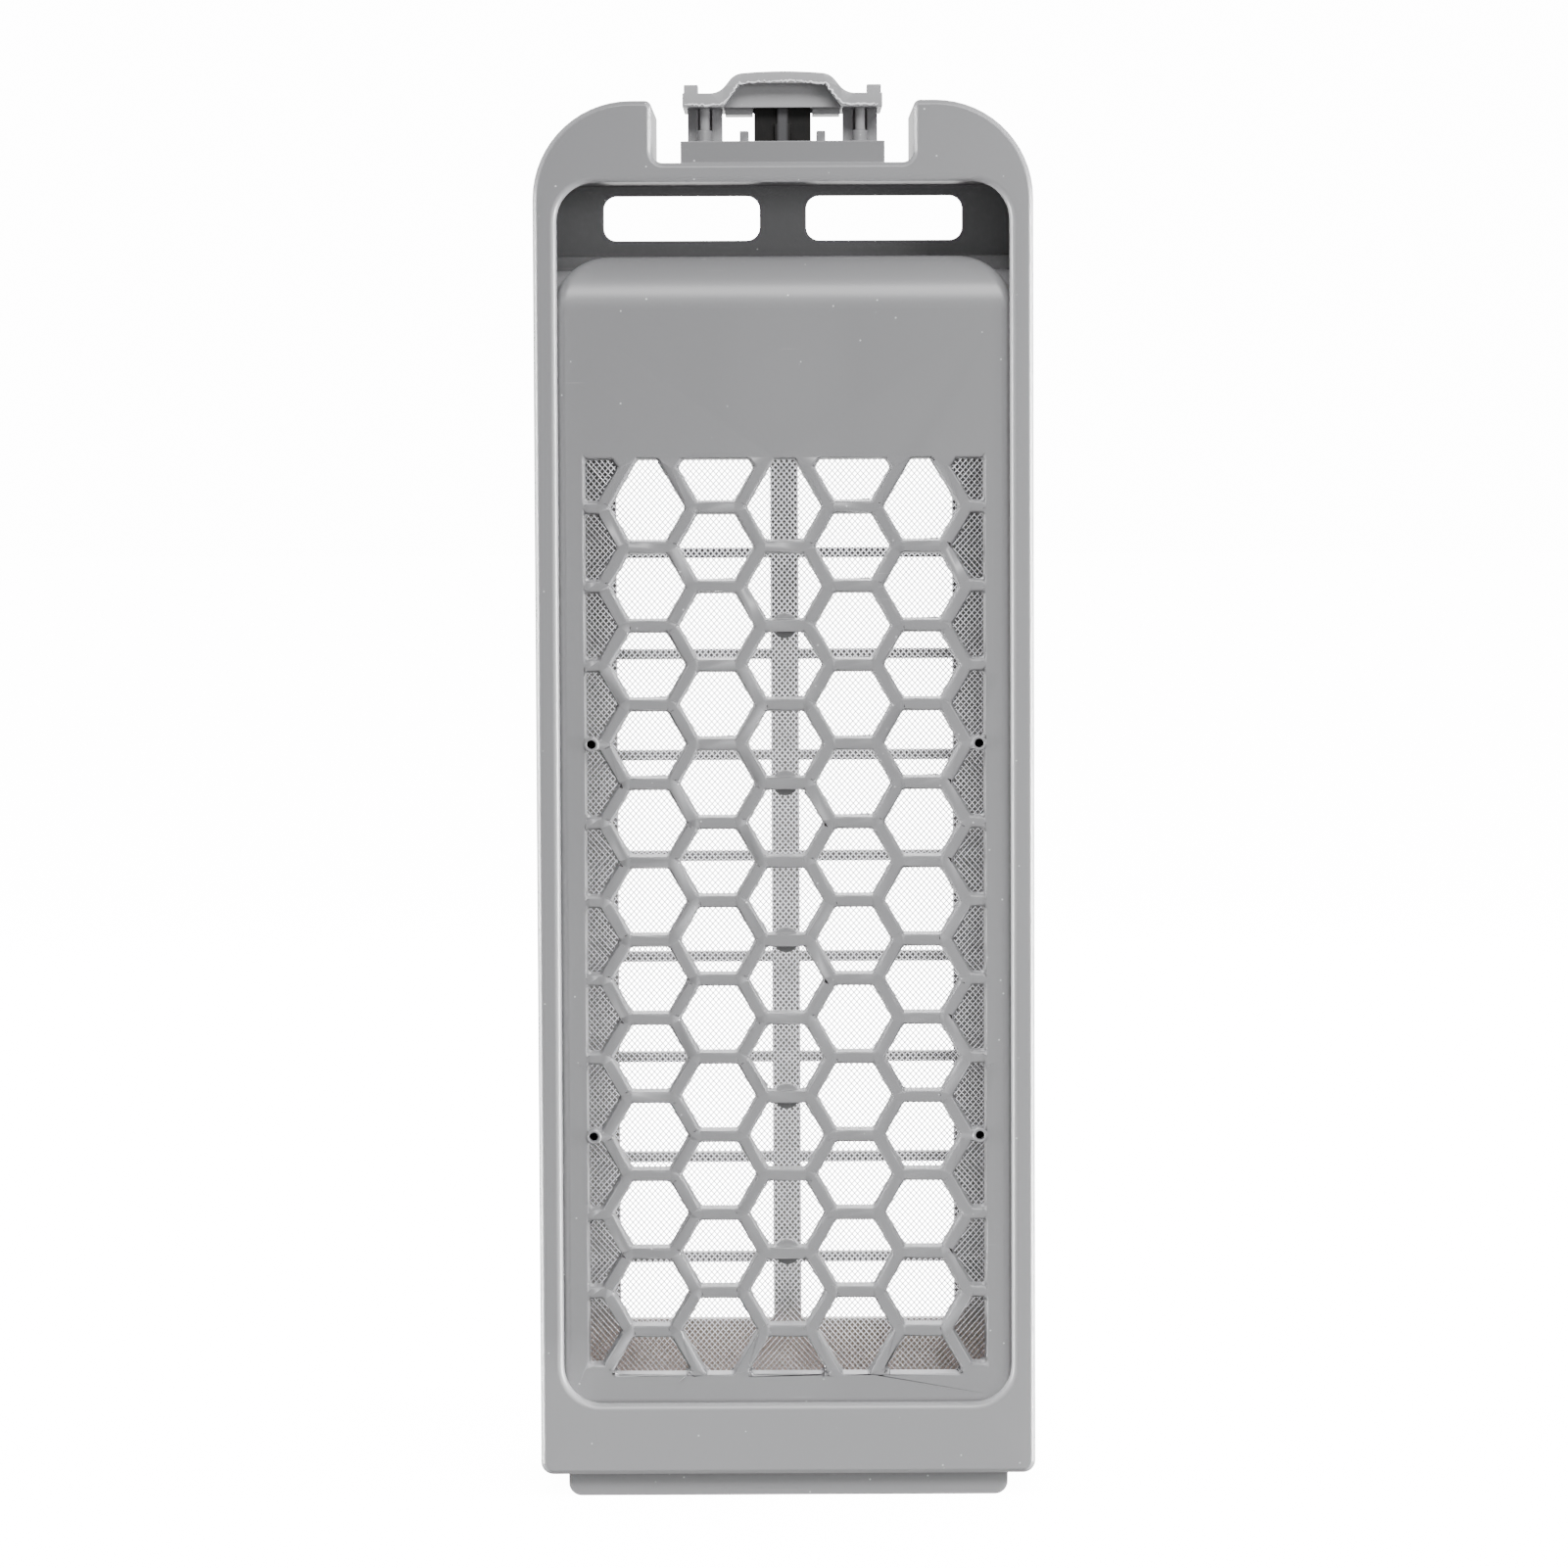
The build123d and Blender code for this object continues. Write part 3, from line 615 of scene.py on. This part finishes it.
# Near white: partly the flash's own pale colour, partly a painted highlight for the light the cap's band
# catches.
flash_paint, flash_paint_tree, flash_paint_shader, flash_paint_place = new_material("near_white_flash_and_highlight")
flash_mottle = add_node(flash_paint_tree, "ShaderNodeTexNoise", links={"Vector": flash_paint_place},
                  values={"Scale": 1000 / FLASH_MOTTLE_SIZE, "Detail": 2.0})
flash_tones = add_node(flash_paint_tree, "ShaderNodeValToRGB", links={"Fac": flash_mottle.outputs["Fac"]})
flash_tones.color_ramp.elements[0].color = linear("#c8c8cc")
flash_tones.color_ramp.elements[1].color = linear("#fafafc")
flash_paint_tree.links.new(flash_tones.outputs["Color"], flash_paint_shader.inputs["Base Color"])
flash_paint_shader.inputs["Roughness"].default_value = 0.5
flash_line.data.materials.append(flash_paint)
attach(flash_line, "button")
print("flash line:", len(trail), "points")

# %% [markdown]
# ## Nylon gauze
# Behind the honeycomb sits a plain woven gauze of clear nylon, welded to the bars. Its holes stand in
# staggered rows, as in cloth that is cut on the bias, so its threads slant both ways. Every thread is
# modelled. At this pitch the eye can't follow a thread over and under its neighbours, so the threads are
# straight and the two kinds just touch. One thread of each kind is shaped, a little flattened as in pressed
# cloth, the Array modifier repeats it, and four cuts trim the cloth to its edges.

# %% Gauze threads
HOLE_ACROSS = 0.82
HOLE_UP = 0.92
THREAD_SLANT = math.atan2(HOLE_ACROSS, HOLE_UP)
THREAD_WIDTH = 0.165
THREAD_FLATTENING = 0.8
THREAD_SIDES = 8
THREAD_SPARE = 1.1
CUT_TOLERANCE = 0.001

mesh_low, mesh_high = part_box("lint_mesh")
gauze_width = (mesh_high.x - mesh_low.x) / MM
gauze_height = (mesh_high.z - mesh_low.z) / MM
gauze_middle = (mesh_low + mesh_high) / 2
gauze_edges = ((mesh_low, (-1, 0, 0)), (mesh_high, (1, 0, 0)),
               (mesh_low, (0, 0, -1)), (mesh_high, (0, 0, 1)))


def threads(name, lean, side):
    """A row of threads that lean one way, trimmed to the gauze, in front of or behind its middle."""
    bpy.ops.object.select_all(action="DESELECT")
    length = THREAD_SPARE * gauze_height / math.cos(lean)
    bpy.ops.mesh.primitive_cylinder_add(
        vertices=THREAD_SIDES, radius=THREAD_WIDTH / 2 * MM, depth=length * MM,
        location=(0, 0, 0), rotation=(0, lean, 0))
    bpy.ops.object.transform_apply(location=True, rotation=True, scale=True)
    row = bpy.context.active_object
    row.name = name
    bpy.ops.object.mode_set(mode="EDIT")
    bpy.ops.transform.resize(value=(1, THREAD_FLATTENING, 1))
    bpy.ops.object.mode_set(mode="OBJECT")
    count = math.ceil((gauze_width + gauze_height * abs(math.tan(lean))) / HOLE_ACROSS)
    array = row.modifiers.new("row", "ARRAY")
    array.count = count
    array.use_relative_offset = False
    array.use_constant_offset = True
    array.constant_offset_displace = (HOLE_ACROSS * MM, 0, 0)
    bpy.ops.object.modifier_apply(modifier=array.name)
    first = gauze_middle.copy()
    first.x -= (count - 1) * HOLE_ACROSS / 2 * MM
    first.y += side * THREAD_WIDTH * THREAD_FLATTENING / 2 * MM
    row.data.transform(Matrix.Translation(first))
    bpy.ops.object.mode_set(mode="EDIT")
    for corner, outward in gauze_edges:
        bpy.ops.mesh.select_all(action="SELECT")
        bpy.ops.mesh.bisect(plane_co=corner, plane_no=outward, clear_outer=True,
                            threshold=CUT_TOLERANCE * MM)
    bpy.ops.mesh.select_all(action="SELECT")
    bpy.ops.mesh.fill_holes(sides=0)
    bpy.ops.mesh.select_all(action="SELECT")
    bpy.ops.mesh.normals_make_consistent(inside=False)
    bpy.ops.object.mode_set(mode="OBJECT")
    bpy.ops.object.shade_smooth_by_angle(angle=math.radians(60))
    return row, count


gauze, rising = threads("gauze", THREAD_SLANT, -1)
cross_threads, falling = threads("cross_threads", -THREAD_SLANT, 1)
bpy.ops.object.select_all(action="DESELECT")
cross_threads.select_set(True)
gauze.select_set(True)
bpy.context.view_layer.objects.active = gauze
bpy.ops.object.join()
print("gauze:", rising, "rising and", falling, "falling threads,", len(gauze.data.polygons), "faces,",
      f"{(mesh_high.y - mesh_low.y) / MM:.2f} mm deep in the solids")

# %% [markdown]
# ## Nylon finish
# Clear nylon thread passes most of the light that falls on it from behind, and bends it. So it lightens
# the ribs behind it with the white that stands round them, draws the weave over the side walls, and
# nearly vanishes against white. A smooth, see-through plastic gives that. Solid nylon bends light more,
# but at its own index of 1.53 these straight threads would be too bright, so theirs is lower.

# %% Nylon finish
CLOUD_SIZE = 6.0
NYLON_ROUGHNESS = 0.05
NYLON_IOR = 1.12

nylon, nylon_tree, nylon_shader, nylon_place = new_material("clear_nylon_thread")
clouding = add_node(nylon_tree, "ShaderNodeTexNoise", links={"Vector": nylon_place},
                    values={"Scale": 1000 / CLOUD_SIZE, "Detail": 2.0})
cloudy = add_node(nylon_tree, "ShaderNodeValToRGB", links={"Fac": clouding.outputs["Fac"]})
cloudy.color_ramp.elements[0].color = linear("#e6e6ea")
cloudy.color_ramp.elements[1].color = linear("#f4f4f8")
nylon_tree.links.new(cloudy.outputs["Color"], nylon_shader.inputs["Base Color"])
nylon_shader.inputs["Roughness"].default_value = NYLON_ROUGHNESS
nylon_shader.inputs["IOR"].default_value = NYLON_IOR
nylon_shader.inputs["Transmission Weight"].default_value = 1.0
gauze.data.materials.append(nylon)
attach(gauze, "box")
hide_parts("lint_mesh")
